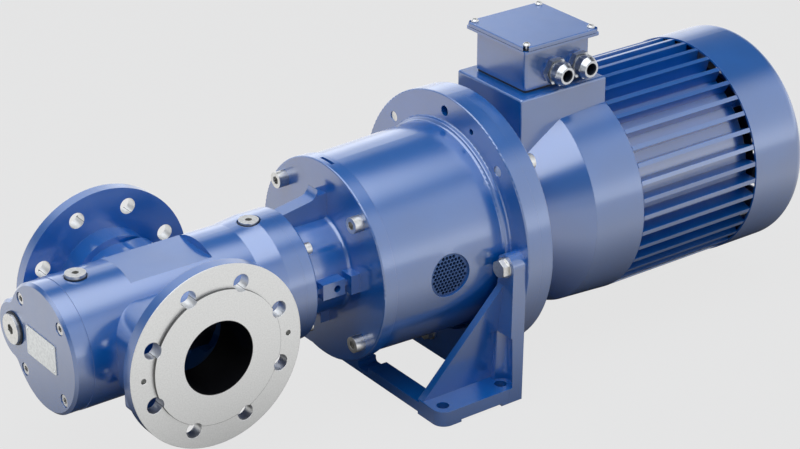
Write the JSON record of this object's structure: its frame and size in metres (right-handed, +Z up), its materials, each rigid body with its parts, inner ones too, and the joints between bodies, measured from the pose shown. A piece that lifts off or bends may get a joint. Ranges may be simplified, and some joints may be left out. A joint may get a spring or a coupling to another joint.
{
  "type": "screw pump",
  "caption": "Horizontal screw pump with side pipe flanges, jaw coupling in a bell housing on a foot bracket, and a finned flange-mounted electric motor",
  "frame": {"origin": "Middle of the four foundation bolt holes, on the plane the foot stands on.", "axes": "+X runs along the drive shaft from the pump to the motor, +Y towards the discharge flange at the rear, +Z up from the foundation."},
  "size_m": [0.9501, 0.3014, 0.3715],
  "materials": {
    "blue_enamel": "satin mid blue enamel over cast and sheet metal",
    "zinc_fasteners": "bright zinc plated steel",
    "shaft_steel": "ground alloy steel",
    "liner_iron": "bored grey iron",
    "hub_iron": "turned grey iron",
    "plate_aluminium": "matt aluminium sheet",
    "core_steel": "laminated electrical steel",
    "winding_copper": "varnished copper winding",
    "seal_carbon": "lapped carbon",
    "seal_rubber": "black nitrile rubber",
    "spider_elastomer": "red polyurethane",
    "fan_plastic": "black polypropylene",
    "terminal_plastic": "black moulding compound",
    "terminal_brass": "brass",
    "gland_nickel": "nickel plated brass",
    "grille_lacquer": "dark blue lacquer over perforated steel"
  },
  "bodies": {
    "housing": {"pump_casing": "blue_enamel", "end_cover": "blue_enamel", "cover_seal_ring": "seal_rubber", "cover_screws": "zinc_fasteners", "nameplate": "plate_aluminium", "nameplate_rivets": "plate_aluminium", "gauge_plugs": "zinc_fasteners", "plug_washers": "seal_rubber", "relief_plug": "zinc_fasteners", "relief_spring": "shaft_steel", "screw_liner": "liner_iron", "mounting_flange": "blue_enamel", "flange_seal_ring": "seal_rubber", "pump_flange_screws": "zinc_fasteners", "seal_seat": "seal_carbon", "pump_bearing_outer": "shaft_steel", "bearing_retainer": "shaft_steel", "bellhousing": "blue_enamel", "bellhousing_screws": "zinc_fasteners", "vent_grilles": "grille_lacquer", "foot_bracket": "blue_enamel", "foot_bolts": "zinc_fasteners", "foot_washers": "zinc_fasteners", "stator_core": "core_steel", "stator_windings": "winding_copper", "motor_bearing_outers": "shaft_steel", "motor_front_shield": "blue_enamel", "motor_flange_screws": "zinc_fasteners", "stator_frame": "blue_enamel", "fan_end_shield": "blue_enamel", "fan_cover": "blue_enamel", "fan_cover_screws": "zinc_fasteners", "box_gasket": "seal_rubber", "terminal_box": "blue_enamel", "lid_gasket": "seal_rubber", "terminal_lid": "blue_enamel", "lid_screws": "zinc_fasteners", "terminal_block": "terminal_plastic", "terminal_studs": "terminal_brass", "gland_bodies": "gland_nickel", "gland_nuts": "gland_nickel", "gland_seals": "seal_rubber"},
    "drive_line": {"power_screw": "shaft_steel", "pump_bearing_inner": "shaft_steel", "seal_face_ring": "shaft_steel", "seal_collar": "shaft_steel", "pump_coupling_hub": "hub_iron", "coupling_spider": "spider_elastomer", "motor_coupling_hub": "hub_iron", "coupling_keys": "shaft_steel", "motor_shaft": "shaft_steel", "rotor_core": "core_steel", "motor_bearing_inners": "shaft_steel", "fan": "fan_plastic"},
    "idler_upper": {"idler_screw_upper": "shaft_steel"},
    "idler_lower": {"idler_screw_lower": "shaft_steel"},
    "relief_valve": {"relief_piston": "shaft_steel"}
  },
  "joints": [
    {"name": "drive_spin", "type": "hinge", "parent": "housing", "child": "drive_line", "pos_m": [0, 0, 0.163], "axis": [1, 0, 0], "continuous": true},
    {"name": "idler_upper_spin", "type": "hinge", "parent": "housing", "child": "idler_upper", "pos_m": [-0.315, 0, 0.191], "axis": [1, 0, 0], "continuous": true},
    {"name": "idler_lower_spin", "type": "hinge", "parent": "housing", "child": "idler_lower", "pos_m": [-0.315, 0, 0.135], "axis": [1, 0, 0], "continuous": true},
    {"name": "relief_lift", "type": "slide", "parent": "housing", "child": "relief_valve", "axis": [-1, 0, 0], "range_m": [0, 0.006], "stiffness_N_per_m": 9000, "springref_m": -0.004, "deforming": ["relief_spring"]}
  ],
  "couplings": [
    {"joint": "idler_upper_spin", "follows": "drive_spin", "ratio": -1},
    {"joint": "idler_lower_spin", "follows": "drive_spin", "ratio": -1}
  ]
}
